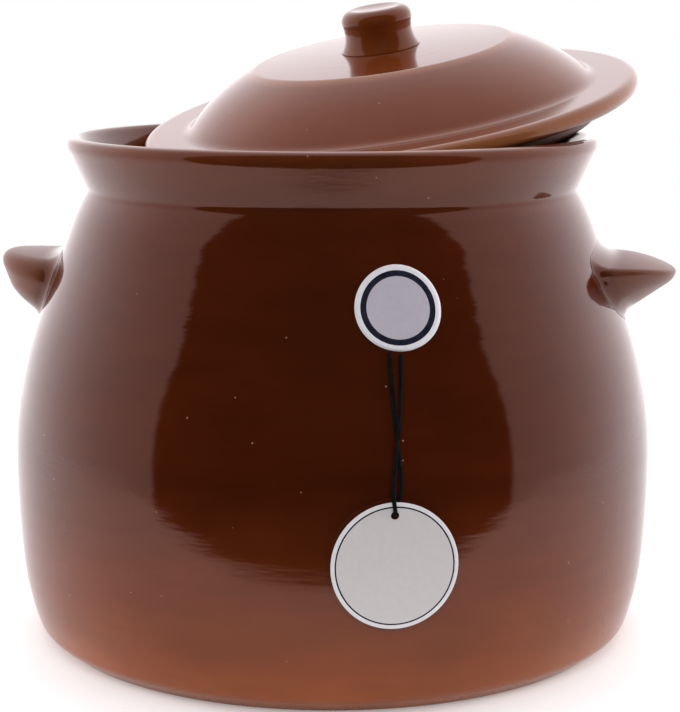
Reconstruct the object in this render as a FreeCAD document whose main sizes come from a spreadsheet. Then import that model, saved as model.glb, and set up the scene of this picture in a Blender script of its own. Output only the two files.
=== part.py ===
import FreeCAD, Part
import math
import os

import Sketcher

# A glazed earthenware stew pot with two lug handles, a loose knobbed lid lying
# askew on its mouth, a round sticker and a round card tag on a thin cord.
# Frame: millimetres, Z up, origin at the centre of the base, handles along X.

doc = FreeCAD.newDocument("stew_pot")
Vector = FreeCAD.Vector
UP = Vector(0, 0, 1)
ON_AXIS = None

# Driving dimensions: lengths in millimetres, leans and turns in degrees.
SIZES = [
    # Pot wall, outside: the belly is the widest ring.
    ("belly_radius", 130), ("belly_level", 73.3), ("wall", 7),
    ("upper_bend", 165), ("shoulder_lean", 20.3), ("shoulder_top_level", 167.8),
    ("neck_bend", 91), ("neck_lean", 30),
    ("lower_bend", 414), ("lower_lean", 5.6), ("heel_bend", 112), ("heel_lean", 19.8),
    ("foot_radius", 114.2),
    # Collar and lip.
    ("collar_lean", 24.2), ("inner_collar_lean", 27.3), ("pot_height", 203.6), ("lip_rounding", 3),
    ("throat_radius", 92.7), ("throat_level", 183.5),
    # Softened edges of the pot.
    ("neck_fillet", 1.6), ("throat_fillet", 8), ("floor_fillet", 16), ("heel_fillet", 2.5), ("foot_fillet", 1),
    # Lug handles: a half-moon in plan, crowned on top, with a keeled underside that slopes down to
    # the wall. The levels are those of the crest and the keel at the tip, the falls are the leans
    # of top and underside towards the wall.
    ("lug_reach", 138.6), ("lug_plan_radius", 26), ("lug_stock", 170),
    ("lug_crown_bend", 110), ("lug_keel_bend", 30),
    ("left_tip_top", 155.2), ("left_top_lean", 0), ("left_tip_bottom", 144.2), ("left_underside_lean", 45),
    ("left_top_fillet", 3.2), ("left_bottom_fillet", 4),
    ("right_tip_top", 153.2), ("right_top_lean", 9.5), ("right_tip_bottom", 147.2), ("right_underside_lean", 34.4),
    ("right_top_fillet", 3), ("right_bottom_fillet", 1.2),
    # Lid, measured from the bottom of its locating flange.
    ("flange_depth", 8.3), ("flange_radius", 85.5), ("flange_inner_radius", 79),
    ("brim_radius", 103), ("brim_thickness", 6.8),
    ("dome_foot_radius", 84), ("dome_bend", 77), ("dome_inner_bend", 70.5), ("dome_rise", 21),
    ("dome_shoulder_radius", 53.2), ("dome_crown_rise", 1.3),
    ("dome_inner_foot_level", 11), ("dome_inner_shoulder_radius", 52),
    ("lid_wall", 6.5), ("dome_foot_fillet", 4), ("dome_shoulder_fillet", 0.8),
    ("flange_edge_fillet", 2), ("flange_root_fillet", 1.5), ("lid_inner_fillet", 5),
    # Where the lid lies: the centre of its brim, and how far and which way it tips.
    ("lid_across", 20.6), ("lid_back", 24.9), ("lid_level", 212.5),
    ("lid_tilt", 11.88), ("lid_high_side", 51.2),
    # Knob, its rises measured from the middle of the lid's top.
    ("knob_foot_radius", 16.3), ("knob_waist_radius", 13.85), ("knob_brow_radius", 14.2),
    ("knob_waist_rise", 8), ("knob_brow_rise", 10.5), ("knob_height", 16.7),
    ("knob_flare_bend", 14), ("knob_head_bend", 4.6), ("knob_dish_radius", 9.2), ("knob_dish_depth", 0.7),
    ("knob_waist_fillet", 0.8), ("knob_brow_fillet", 1),
    # Sticker on the straight part of the shoulder.
    ("sticker_radius", 15.8), ("sticker_thickness", 0.25), ("sticker_level", 148.8), ("sticker_turn", -70.6),
    ("sticker_punch_depth", 20),
    # Card tag and cord.
    ("tag_turn", -72.8), ("tag_radius", 23), ("tag_thickness", 0.7), ("tag_level", 59.7),
    ("tag_stand_off", 132.3), ("tag_sidestep", -0.5), ("tag_hole_radius", 1.5), ("tag_hole_rise", 18.3),
    ("cord_diameter", 1.5),
]

# Sizes that follow from the ones above.
DERIVED = [
    ("shoulder_start_radius", "belly_radius - upper_bend * (1 - cos(shoulder_lean))"),
    ("shoulder_start_level", "belly_level + upper_bend * sin(shoulder_lean)"),
    ("shoulder_top_radius",
     "shoulder_start_radius - (shoulder_top_level - shoulder_start_level) * tan(shoulder_lean)"),
    ("neck_radius", "shoulder_top_radius - neck_bend * (cos(shoulder_lean) - cos(neck_lean))"),
    ("neck_level", "shoulder_top_level + neck_bend * (sin(neck_lean) - sin(shoulder_lean))"),
    ("low_radius", "belly_radius - lower_bend * (1 - cos(lower_lean))"),
    ("low_level", "belly_level - lower_bend * sin(lower_lean)"),
    ("heel_radius", "low_radius - heel_bend * (cos(lower_lean) - cos(heel_lean))"),
    ("heel_level", "low_level - heel_bend * (sin(heel_lean) - sin(lower_lean))"),
    ("lip_centre_level", "pot_height - lip_rounding"),
    ("lip_outer_level", "lip_centre_level - lip_rounding * sin(collar_lean)"),
    ("lip_outer_radius", "neck_radius + (lip_outer_level - neck_level) * tan(collar_lean)"),
    ("lip_crest_radius", "lip_outer_radius - lip_rounding * cos(collar_lean)"),
    ("lip_inner_radius", "lip_crest_radius - lip_rounding * cos(inner_collar_lean)"),
    ("lip_inner_level", "lip_centre_level + lip_rounding * sin(inner_collar_lean)"),
    ("inner_upper_bend", "upper_bend - wall"),
    ("inner_lower_bend", "lower_bend - wall"),
    ("inner_heel_bend", "heel_bend - wall"),
    ("inner_belly_radius", "belly_radius - wall"),
    ("inner_shoulder_radius", "inner_belly_radius - inner_upper_bend * (1 - cos(shoulder_lean))"),
    ("inner_shoulder_level", "belly_level + inner_upper_bend * sin(shoulder_lean)"),
    ("inner_low_radius", "inner_belly_radius - inner_lower_bend * (1 - cos(lower_lean))"),
    ("inner_low_level", "belly_level - inner_lower_bend * sin(lower_lean)"),
    ("inner_floor_radius", "inner_low_radius - inner_heel_bend * (cos(lower_lean) - cos(heel_lean))"),
    ("inner_floor_level", "inner_low_level - inner_heel_bend * (sin(heel_lean) - sin(lower_lean))"),
    ("lug_plan_centre", "lug_reach - lug_plan_radius"),
    ("crown_stock", "lug_crown_bend + lug_stock"),
    ("keel_stock", "lug_keel_bend + lug_stock"),
    ("left_crown_centre", "left_tip_top + lug_reach * tan(left_top_lean) - lug_crown_bend"),
    ("right_crown_centre", "right_tip_top + lug_reach * tan(right_top_lean) - lug_crown_bend"),
    ("left_keel_centre", "left_tip_bottom - lug_reach * tan(left_underside_lean) + lug_keel_bend"),
    ("right_keel_centre", "right_tip_bottom - lug_reach * tan(right_underside_lean) + lug_keel_bend"),
    ("brim_edge_rounding", "brim_thickness / 2"),
    ("brim_flat_radius", "brim_radius - brim_edge_rounding"),
    ("brim_middle_level", "flange_depth + brim_edge_rounding"),
    ("brim_top_level", "flange_depth + brim_thickness"),
    ("dome_top_level", "brim_top_level + dome_rise"),
    ("dome_crown_level", "dome_top_level + dome_crown_rise"),
    ("dome_crown_bend", "(dome_shoulder_radius * dome_shoulder_radius / dome_crown_rise + dome_crown_rise) / 2"),
    ("dome_inner_level", "dome_top_level - lid_wall"),
    ("knob_foot_level",
     "dome_crown_level - dome_crown_bend"
     " + sqrt(dome_crown_bend * dome_crown_bend - knob_foot_radius * knob_foot_radius)"),
    ("knob_waist_level", "dome_crown_level + knob_waist_rise"),
    ("knob_brow_level", "dome_crown_level + knob_brow_rise"),
    ("knob_top_level", "dome_crown_level + knob_height"),
    ("knob_dish_level", "knob_top_level - knob_dish_depth"),
    ("knob_dish_bend", "(knob_dish_radius * knob_dish_radius / knob_dish_depth + knob_dish_depth) / 2"),
    ("sticker_wall_radius",
     "shoulder_start_radius - (sticker_level - shoulder_start_level) * tan(shoulder_lean)"),
    ("sticker_skin", "sticker_thickness / cos(shoulder_lean)"),
    ("shoulder_straight", "shoulder_top_level - shoulder_start_level"),
]

sheet = doc.addObject("Spreadsheet::Sheet", "Sizes")
for row, (alias, number) in enumerate(SIZES + DERIVED, start=1):
    sheet.set(f"A{row}", alias)
    sheet.set(f"B{row}", str(number) if not isinstance(number, str) else "=" + number)
    sheet.setAlias(f"B{row}", alias)
doc.recompute()


def size(alias):
    """Value of a cell of the sheet."""
    return float(sheet.get(alias))


def bind(thing, prop, formula):
    """Tie a property to the sheet."""
    thing.setExpression(prop, formula)


def new_body(label):
    body = doc.addObject("PartDesign::Body", label)
    body.Label = label
    return body


def new_sketch(body, name, role):
    """Sketch on one of the body's own origin planes."""
    sketch = body.newObject("Sketcher::SketchObject", name)
    plane = next(item for item in body.Origin.OriginFeatures if item.Role == role)
    sketch.AttachmentSupport = (plane, [""])
    sketch.MapMode = "FlatFace"
    return sketch


def arc_between(start, end, radius, bulge):
    """Arc from start to end, bulging to the left (+1) or right (-1) of that direction."""
    chord = end - start
    left = Vector(-chord.y, chord.x, 0).normalize()
    half = chord.Length / 2
    middle = (start + end) * 0.5
    centre = middle - left * (bulge * math.sqrt(radius ** 2 - half ** 2))
    first, last = (end, start) if bulge > 0 else (start, end)
    angle_first = math.atan2(first.y - centre.y, first.x - centre.x)
    angle_last = math.atan2(last.y - centre.y, last.x - centre.x)
    return Part.ArcOfCircle(Part.Circle(centre, UP, radius), angle_first, angle_last)


def draw_outline(sketch, corners, bends):
    """Closed outline whose corners and radii are cells of the sheet.

    corners: (across, up) cell names, ON_AXIS for a zero.
    bends: corner index -> (radius cell, bulge) where the edge to the next corner is an arc.
    """
    places = [Vector(size(across) if across else 0, size(up) if up else 0, 0) for across, up in corners]
    count = len(places)
    ends = []
    for index, start in enumerate(places):
        end = places[(index + 1) % count]
        if index in bends:
            radius_cell, bulge = bends[index]
            edge = sketch.addGeometry(arc_between(start, end, size(radius_cell), bulge), False)
            sketch.addConstraint(Sketcher.Constraint("Radius", edge, size(radius_cell)))
            bind(sketch, f"Constraints[{sketch.ConstraintCount - 1}]", f"Sizes.{radius_cell}")
            ends.append((edge, 2, 1) if bulge > 0 else (edge, 1, 2))
        else:
            edge = sketch.addGeometry(Part.LineSegment(start, end), False)
            ends.append((edge, 1, 2))
    for index, (edge, _, finish) in enumerate(ends):
        next_edge, next_start, _ = ends[(index + 1) % count]
        sketch.addConstraint(Sketcher.Constraint("Coincident", edge, finish, next_edge, next_start))
    for (across, up), (edge, start, _) in zip(corners, ends):
        hold_point(sketch, edge, start, "DistanceX", across, -2)
        hold_point(sketch, edge, start, "DistanceY", up, -1)


def hold_point(sketch, edge, point, kind, cell, axis):
    """Keep a point at a cell's distance from the origin, or on the axis if there is no cell."""
    if cell is ON_AXIS:
        sketch.addConstraint(Sketcher.Constraint("PointOnObject", edge, point, axis))
        return
    sketch.addConstraint(Sketcher.Constraint(kind, -1, 1, edge, point, size(cell)))
    bind(sketch, f"Constraints[{sketch.ConstraintCount - 1}]", f"Sizes.{cell}")


def draw_circle(sketch, across, up, radius):
    """Circle whose centre and radius are cells of the sheet."""
    centre = Vector(size(across) if across else 0, size(up) if up else 0, 0)
    ring = sketch.addGeometry(Part.Circle(centre, UP, size(radius)), False)
    sketch.addConstraint(Sketcher.Constraint("Radius", ring, size(radius)))
    bind(sketch, f"Constraints[{sketch.ConstraintCount - 1}]", f"Sizes.{radius}")
    hold_point(sketch, ring, 3, "DistanceX", across, -2)
    hold_point(sketch, ring, 3, "DistanceY", up, -1)


def revolve(body, name, corners, bends, kind="PartDesign::Revolution"):
    """Turn an outline in the XZ plane all the way round the body's Z axis."""
    sketch = new_sketch(body, name + "_outline", "XZ_Plane")
    draw_outline(sketch, corners, bends)
    turned = body.newObject(kind, name)
    turned.Profile = sketch
    turned.ReferenceAxis = (sketch, ["V_Axis"])
    turned.Angle = 360
    doc.recompute()
    return turned


def ring_name(shape, radius, level):
    """Name of the circular edge of that radius and level."""
    for number, edge in enumerate(shape.Edges, start=1):
        if edge.Degenerated or not isinstance(edge.Curve, Part.Circle):
            continue
        if abs(edge.Curve.Radius - radius) < 0.01 and abs(edge.Curve.Center.z - level) < 0.01:
            return f"Edge{number}"
    raise ValueError(f"no ring of radius {radius:.2f} at level {level:.2f}")


def soften(body, base, name, edges, radius_cell):
    """Fillet on the named edges of the body's last feature."""
    fillet = body.newObject("PartDesign::Fillet", name)
    fillet.Base = (base, edges)
    bind(fillet, "Radius", f"Sizes.{radius_cell}")
    doc.recompute()
    return fillet


def soften_ring(body, base, name, radius, level, radius_cell):
    return soften(body, base, name, [ring_name(base.Shape, size(radius), size(level))], radius_cell)


# Pot body: one thrown wall with a collared mouth and a flat base.
def make_pot_body():
    body = new_body("pot_body")
    corners = [
        (ON_AXIS, ON_AXIS),
        ("foot_radius", ON_AXIS),
        ("heel_radius", "heel_level"),
        ("low_radius", "low_level"),
        ("belly_radius", "belly_level"),
        ("shoulder_start_radius", "shoulder_start_level"),
        ("shoulder_top_radius", "shoulder_top_level"),
        ("neck_radius", "neck_level"),
        ("lip_outer_radius", "lip_outer_level"),
        ("lip_crest_radius", "pot_height"),
        ("lip_inner_radius", "lip_inner_level"),
        ("throat_radius", "throat_level"),
        ("inner_shoulder_radius", "inner_shoulder_level"),
        ("inner_belly_radius", "belly_level"),
        ("inner_low_radius", "inner_low_level"),
        ("inner_floor_radius", "inner_floor_level"),
        (ON_AXIS, "inner_floor_level"),
    ]
    bends = {
        2: ("heel_bend", -1), 3: ("lower_bend", -1), 4: ("upper_bend", -1), 6: ("neck_bend", -1),
        8: ("lip_rounding", -1), 9: ("lip_rounding", -1),
        12: ("inner_upper_bend", 1), 13: ("inner_lower_bend", 1), 14: ("inner_heel_bend", 1),
    }
    last = revolve(body, "wall_revolution", corners, bends)
    for name, radius, level, fillet in [
        ("neck_groove", "neck_radius", "neck_level", "neck_fillet"),
        ("throat", "throat_radius", "throat_level", "throat_fillet"),
        ("floor_corner", "inner_floor_radius", "inner_floor_level", "floor_fillet"),
        ("heel_edge", "heel_radius", "heel_level", "heel_fillet"),
    ]:
        last = soften_ring(body, last, name, radius, level, fillet)
    foot = ring_name(last.Shape, size("foot_radius"), 0)
    soften(body, last, "foot_edge", [foot], "foot_fillet")
    return body


def trim_to_circle(body, base, name, role, centre, circle, slope):
    """Cut away what lies outside a circle that is swept along X, falling or rising by the slope."""
    radius, stock = circle
    sketch = new_sketch(body, name + "_outline", role)
    draw_circle(sketch, ON_AXIS, centre, radius)
    draw_circle(sketch, ON_AXIS, centre, stock)
    cut = body.newObject("PartDesign::Pocket", name)
    cut.Profile = sketch
    cut.UseCustomVector = True
    cut.Direction = Vector(1, 0, slope)
    cut.Type = "ThroughAll"
    cut.Midplane = True
    doc.recompute()
    assert cut.Shape.Volume < 0.95 * base.Shape.Volume, f"{name} cuts nothing"
    return cut


def rim_edges(shape, tip_level):
    """Names of the edges round the half-moon's upright wall, those above and those below a level."""
    centre = size("lug_plan_centre")
    above, below = [], []
    for number, edge in enumerate(shape.Edges, start=1):
        places = edge.discretize(5)
        on_wall = all(abs(math.hypot(p.x - centre, p.y) - size("lug_plan_radius")) < 0.01 for p in places)
        upright = math.hypot(places[-1].x - places[0].x, places[-1].y - places[0].y) < 0.01
        if not on_wall or (upright and not edge.Closed):
            continue
        furthest = max(places, key=lambda p: p.x)
        (above if furthest.z > tip_level else below).append(f"Edge{number}")
    return above, below


# Lug handle: a half-moon slab, crowned on top and keeled below, cut to the pot's wall at its root.
def make_handle(label, side, turn):
    body = new_body(label)
    plan = new_sketch(body, "half_moon", "XY_Plane")
    draw_circle(plan, "lug_plan_centre", ON_AXIS, "lug_plan_radius")
    slab = body.newObject("PartDesign::Pad", "slab")
    slab.Profile = plan
    bind(slab, "Length", "Sizes.lug_stock")
    doc.recompute()
    top_fall = -math.tan(math.radians(size(f"{side}_top_lean")))
    underside_rise = math.tan(math.radians(size(f"{side}_underside_lean")))
    last = trim_to_circle(body, slab, "crown", "YZ_Plane", f"{side}_crown_centre",
                          ("lug_crown_bend", "crown_stock"), top_fall)
    last = trim_to_circle(body, last, "keel", "YZ_Plane", f"{side}_keel_centre",
                          ("lug_keel_bend", "keel_stock"), underside_rise)
    before = last.Shape.Volume
    last = revolve(body, "pot_wall_cut", [
        (ON_AXIS, "low_level"),
        ("low_radius", "low_level"),
        ("belly_radius", "belly_level"),
        ("shoulder_start_radius", "shoulder_start_level"),
        ("shoulder_top_radius", "shoulder_top_level"),
        (ON_AXIS, "shoulder_top_level"),
    ], {1: ("lower_bend", -1), 2: ("upper_bend", -1)}, "PartDesign::Groove")
    assert 0 < last.Shape.Volume < 0.9 * before, "the pot wall didn't cut the lug's root"
    tip_middle = (size(f"{side}_tip_top") + size(f"{side}_tip_bottom")) / 2
    last = soften(body, last, "top_rim", rim_edges(last.Shape, tip_middle)[0], f"{side}_top_fillet")
    soften(body, last, "bottom_rim", rim_edges(last.Shape, tip_middle)[1], f"{side}_bottom_fillet")
    body.Placement = FreeCAD.Placement(Vector(), FreeCAD.Rotation(UP, turn))
    return body


def lid_placement():
    """Where the loose lid lies: centred on its brim, raised on its high side."""
    high = math.radians(size("lid_high_side"))
    tip_axis = Vector(math.sin(high), -math.cos(high), 0)
    tip = FreeCAD.Placement(
        Vector(size("lid_across"), size("lid_back"), size("lid_level")),
        FreeCAD.Rotation(tip_axis, size("lid_tilt")))
    return tip * FreeCAD.Placement(Vector(0, 0, -size("brim_middle_level")), FreeCAD.Rotation())


# Lid: a domed cap with a flat brim and a flange beneath that drops into the mouth.
def make_lid():
    body = new_body("lid")
    corners = [
        ("flange_inner_radius", ON_AXIS),
        ("flange_radius", ON_AXIS),
        ("flange_radius", "flange_depth"),
        ("brim_flat_radius", "flange_depth"),
        ("brim_radius", "brim_middle_level"),
        ("brim_flat_radius", "brim_top_level"),
        ("dome_foot_radius", "brim_top_level"),
        ("dome_shoulder_radius", "dome_top_level"),
        (ON_AXIS, "dome_crown_level"),
        (ON_AXIS, "dome_inner_level"),
        ("dome_inner_shoulder_radius", "dome_inner_level"),
        ("flange_inner_radius", "dome_inner_foot_level"),
    ]
    bends = {
        3: ("brim_edge_rounding", -1), 4: ("brim_edge_rounding", -1),
        6: ("dome_bend", -1), 7: ("dome_crown_bend", -1), 10: ("dome_inner_bend", 1),
    }
    last = revolve(body, "lid_revolution", corners, bends)
    for name, radius, level, fillet in [
        ("dome_foot", "dome_foot_radius", "brim_top_level", "dome_foot_fillet"),
        ("dome_shoulder", "dome_shoulder_radius", "dome_top_level", "dome_shoulder_fillet"),
        ("inner_shoulder", "dome_inner_shoulder_radius", "dome_inner_level", "lid_inner_fillet"),
        ("inner_foot", "flange_inner_radius", "dome_inner_foot_level", "lid_inner_fillet"),
        ("flange_root", "flange_radius", "flange_depth", "flange_root_fillet"),
    ]:
        last = soften_ring(body, last, name, radius, level, fillet)
    lower_rings = [ring_name(last.Shape, size(cell), 0) for cell in ("flange_radius", "flange_inner_radius")]
    soften(body, last, "flange_edge", lower_rings, "flange_edge_fillet")
    body.Placement = lid_placement()
    return body


# Knob: a stem that flares to its foot, a slight undercut and a rounded head with a shallow dish.
def make_knob():
    body = new_body("lid_knob")
    corners = [
        (ON_AXIS, "dome_crown_level"),
        ("knob_foot_radius", "knob_foot_level"),
        ("knob_waist_radius", "knob_waist_level"),
        ("knob_brow_radius", "knob_brow_level"),
        ("knob_dish_radius", "knob_top_level"),
        (ON_AXIS, "knob_dish_level"),
    ]
    bends = {
        0: ("dome_crown_bend", 1), 1: ("knob_flare_bend", 1),
        3: ("knob_head_bend", -1), 4: ("knob_dish_bend", 1),
    }
    last = revolve(body, "knob_revolution", corners, bends)
    last = soften_ring(body, last, "waist", "knob_waist_radius", "knob_waist_level", "knob_waist_fillet")
    soften_ring(body, last, "brow", "knob_brow_radius", "knob_brow_level", "knob_brow_fillet")
    body.Placement = lid_placement()
    return body


def shoulder_cone(name, skin):
    """Solid cone of the pot's straight shoulder, thickened by the skin."""
    cone = doc.addObject("Part::Cone", name)
    bind(cone, "Radius1", f"Sizes.shoulder_start_radius + {skin}")
    bind(cone, "Radius2", f"Sizes.shoulder_top_radius + {skin}")
    bind(cone, "Height", "Sizes.shoulder_straight")
    bind(cone, "Placement.Base.z", "Sizes.shoulder_start_level")
    return cone


# Sticker: a thin disc that follows the cone of the shoulder.
def make_sticker():
    outer = shoulder_cone("sticker_outer_skin", "Sizes.sticker_skin")
    inner = shoulder_cone("sticker_wall_face", "0")
    skin = doc.addObject("Part::Cut", "sticker_skin_ring")
    skin.Base, skin.Tool = outer, inner
    punch = doc.addObject("Part::Cylinder", "sticker_punch")
    bind(punch, "Radius", "Sizes.sticker_radius")
    bind(punch, "Height", "2 * Sizes.sticker_punch_depth")
    turn = FreeCAD.Rotation(UP, size("sticker_turn"))
    lean = FreeCAD.Rotation(Vector(0, 1, 0), 90 - size("shoulder_lean"))
    outward = turn.multVec(lean.multVec(UP))
    place = turn.multVec(Vector(size("sticker_wall_radius"), 0, size("sticker_level")))
    punch.Placement = FreeCAD.Placement(place - outward * size("sticker_punch_depth"), turn * lean)
    sticker = doc.addObject("Part::Common", "round_sticker")
    sticker.Base, sticker.Tool = skin, punch
    sticker.Label = "round_sticker"
    doc.recompute()
    return sticker


# Card tag: a plain disc with a punched hole, hanging upright just off the belly.
def make_tag():
    body = new_body("swing_tag")
    sketch = new_sketch(body, "card_outline", "XY_Plane")
    draw_circle(sketch, ON_AXIS, ON_AXIS, "tag_radius")
    draw_circle(sketch, ON_AXIS, "tag_hole_rise", "tag_hole_radius")
    pad = body.newObject("PartDesign::Pad", "card")
    pad.Profile = sketch
    bind(pad, "Length", "Sizes.tag_thickness")
    turn = FreeCAD.Rotation(UP, size("tag_turn") + 90)
    upright = FreeCAD.Rotation(Vector(1, 0, 0), 90)
    place = turn.multVec(Vector(size("tag_sidestep"), -size("tag_stand_off"), size("tag_level")))
    body.Placement = FreeCAD.Placement(place, turn * upright)
    return body


# Route of the cord: from under the sticker down over its other half, through the tag's
# hole from front to back, and up again to the sticker.
CORD_ROUTE = [
    (39.2, -113.7, 133.3), (39.4, -115.5, 128.5), (39.7, -118.4, 121.0), (39.7, -122.2, 111.0),
    (39.1, -124.9, 100.5), (38.4, -127.1, 91.4), (38.3, -128.7, 85.2), (39.3, -128.5, 78.4),
    (38.2, -125.3, 78.4), (40.3, -124.6, 83.8), (40.8, -123.8, 90.2), (39.6, -122.9, 99.2),
    (38.2, -121.4, 109.0), (36.9, -119.2, 119.0), (35.8, -116.8, 127.5), (35.3, -114.6, 133.6),
]
# Share of the shorter run that a bend takes up on each side of its corner.
BEND_SHARE = 0.45


def make_cord():
    corners = [Vector(*place) for place in CORD_ROUTE]
    edges = []
    radii = []
    start = corners[0]
    for before, corner, after in zip(corners, corners[1:], corners[2:]):
        arriving = (corner - before).normalize()
        leaving = (after - corner).normalize()
        half_turn = arriving.getAngle(leaving) / 2
        reach = BEND_SHARE * min(corner.distanceToPoint(before), corner.distanceToPoint(after))
        radius = reach / math.tan(half_turn)
        bend_start = corner - arriving * reach
        bend_end = corner + leaving * reach
        inward = (leaving - arriving).normalize()
        bend_middle = corner + inward * (radius / math.cos(half_turn) - radius)
        edges.append(Part.LineSegment(start, bend_start).toShape())
        edges.append(Part.Arc(bend_start, bend_middle, bend_end).toShape())
        radii.append(round(radius, 1))
        start = bend_end
    edges.append(Part.LineSegment(start, corners[-1]).toShape())
    path = Part.Wire(edges)
    cord_radius = size("cord_diameter") / 2
    section = Part.Wire(Part.makeCircle(cord_radius, corners[0], corners[1] - corners[0]))
    cord = doc.addObject("Part::Feature", "tag_cord")
    cord.Shape = path.makePipeShell([section], True, False)
    expected = math.pi * cord_radius ** 2 * path.Length
    print("cord length", round(path.Length, 1), "bend radii", radii)
    print("cord volume", round(cord.Shape.Volume, 2), "section times length", round(expected, 2))
    return cord


def main():
    parts = [
        make_pot_body(), make_handle("right_handle", "right", 0), make_handle("left_handle", "left", 180),
        make_lid(), make_knob(), make_sticker(), make_tag(), make_cord(),
    ]
    doc.recompute()
    for thing in doc.Objects:
        bad = {"Invalid", "Error"} & set(thing.State)
        assert not bad, f"{thing.Name} is {thing.State}"
    os.makedirs("parts", exist_ok=True)
    for part in parts:
        shape = part.Shape
        assert not shape.isNull() and shape.isValid(), f"{part.Label} has a bad shape"
        print(part.Label, "solids", len(shape.Solids), "volume", round(shape.Volume / 1000, 2), "cm3",
              "box", [round(v, 2) for v in (shape.BoundBox.XMin, shape.BoundBox.XMax, shape.BoundBox.YMin,
                                            shape.BoundBox.YMax, shape.BoundBox.ZMin, shape.BoundBox.ZMax)])
        shape.exportStep(f"parts/{part.Label}.step")


main()
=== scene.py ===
import math

import bmesh
import bpy
import numpy as np
from mathutils import Matrix, Vector


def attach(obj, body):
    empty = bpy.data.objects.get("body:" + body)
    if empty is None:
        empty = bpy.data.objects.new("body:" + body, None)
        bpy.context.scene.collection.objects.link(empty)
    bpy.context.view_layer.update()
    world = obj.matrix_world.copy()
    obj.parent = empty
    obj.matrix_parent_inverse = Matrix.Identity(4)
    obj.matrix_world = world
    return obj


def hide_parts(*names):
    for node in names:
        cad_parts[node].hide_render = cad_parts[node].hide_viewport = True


# A glazed earthenware stew pot with a loose lid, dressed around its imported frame.
# Lengths are in metres, with Z up and the origin at the centre of the pot's base.

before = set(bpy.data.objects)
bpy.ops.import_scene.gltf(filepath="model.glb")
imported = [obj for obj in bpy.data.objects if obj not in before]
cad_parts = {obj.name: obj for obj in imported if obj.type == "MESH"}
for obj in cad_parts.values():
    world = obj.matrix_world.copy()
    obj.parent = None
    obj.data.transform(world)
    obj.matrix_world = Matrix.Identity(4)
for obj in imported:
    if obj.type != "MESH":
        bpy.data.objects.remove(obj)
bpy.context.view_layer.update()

# Pot wall, outside and inside: bends are the radii of its arcs, and leans are from upright.
BELLY_RADIUS = 0.130
BELLY_LEVEL = 0.0733
WALL = 0.007
UPPER_BEND = 0.165
SHOULDER_LEAN = math.radians(20.3)
SHOULDER_TOP_LEVEL = 0.1678
NECK_BEND = 0.091
NECK_LEAN = math.radians(30)
LOWER_BEND = 0.414
LOWER_LEAN = math.radians(5.6)
HEEL_BEND = 0.112
HEEL_LEAN = math.radians(19.8)
FOOT_RADIUS = 0.1142
COLLAR_LEAN = math.radians(24.2)
INNER_COLLAR_LEAN = math.radians(27.3)
POT_HEIGHT = 0.2036
LIP_ROUNDING = 0.003
THROAT_RADIUS = 0.0927
THROAT_LEVEL = 0.1835
# How far the softening of each corner reaches along the outline.
FOOT_SOFTENING = 0.0012
HEEL_SOFTENING = 0.0025
NECK_SOFTENING = 0.0016
THROAT_SOFTENING = 0.0045
FLOOR_SOFTENING = 0.012

# Marks of throwing: soft rings as (depth, spacing, turns of the spiral, start), and how far and
# in which way the wall isn't round. Both fade out towards the foot.
THROWING_RINGS = [(0.000018, 0.0092, 1, 0), (0.000012, 0.0041, -2, 1)]
OVALNESS = 0.00018
OVAL_START = 0.7
OVAL_TWIST = 9
OVAL_RISE = 0.05
PLAIN_FOOT = 0.004
PLAIN_FOOT_FADE = 0.02

# Lug handles: half-moons whose rims slant inwards below the top edge. Crown and keel are the bends
# of top and underside from side to side, and leans are from level.
LUG_PLAN_RADIUS = 0.032
LUG_RIM_SLANT = math.radians(20)
LUG_CROWN_BEND = 0.110
LUG_KEEL_BEND = 0.030
LUG_DROOP_REACH = 0.023
LUG_BOTTOM_EDGE = 0.0008
# The edges are rounded more and more towards the wall, by a share of the way back, up to this reach.
LUG_BOTTOM_GROWTH = 0.1
LUG_GROWTH_REACH = 0.030
# Rounding of the joint with the wall, which grows from the tip's lower level up, to upper_joint
# over this rise.
LUG_LOWER_JOINT = 0.0035
LUG_JOINT_RISE = 0.006
LUGS = {
    "lug_right": {
        "node": "right_handle", "turn": 0, "reach": 0.14105,
        "tip_top": 0.1552, "top_lean": math.radians(5), "droop": 0.0057,
        "tip_bottom": 0.1489, "underside_lean": math.radians(34.6),
        "top_edge": 0.0012, "top_growth": 0.05, "upper_joint": 0.0052,
    },
    "lug_left": {
        "node": "left_handle", "turn": math.pi, "reach": 0.1398,
        "tip_top": 0.1553, "top_lean": 0, "droop": 0,
        "tip_bottom": 0.1441, "underside_lean": math.radians(41.4),
        "top_edge": 0.0056, "top_growth": 0.15, "upper_joint": 0.005,
    },
}

# A lug's surface is found along rays that fan out from a point inside the pot, closer together
# in the middle. What lies less than the skin off the wall is left out, and the hub that closes the
# lug behind lies in the wall, this far above the fan's centre.
FAN_CENTRE = np.array((0.085, 0, 0.135))
FAN_SIDE = 1.7
FAN_CROWDING = 0.45
FAN_DOWN, FAN_UP = -0.75, 1.75
FAN_ACROSS_STEPS, FAN_UP_STEPS = 180, 190
FAN_NEAR, FAN_FAR = 0.012, 0.110
FAN_HALVINGS = 32
SKIN = 0.00003
HUB_RISE = 0.010

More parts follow.
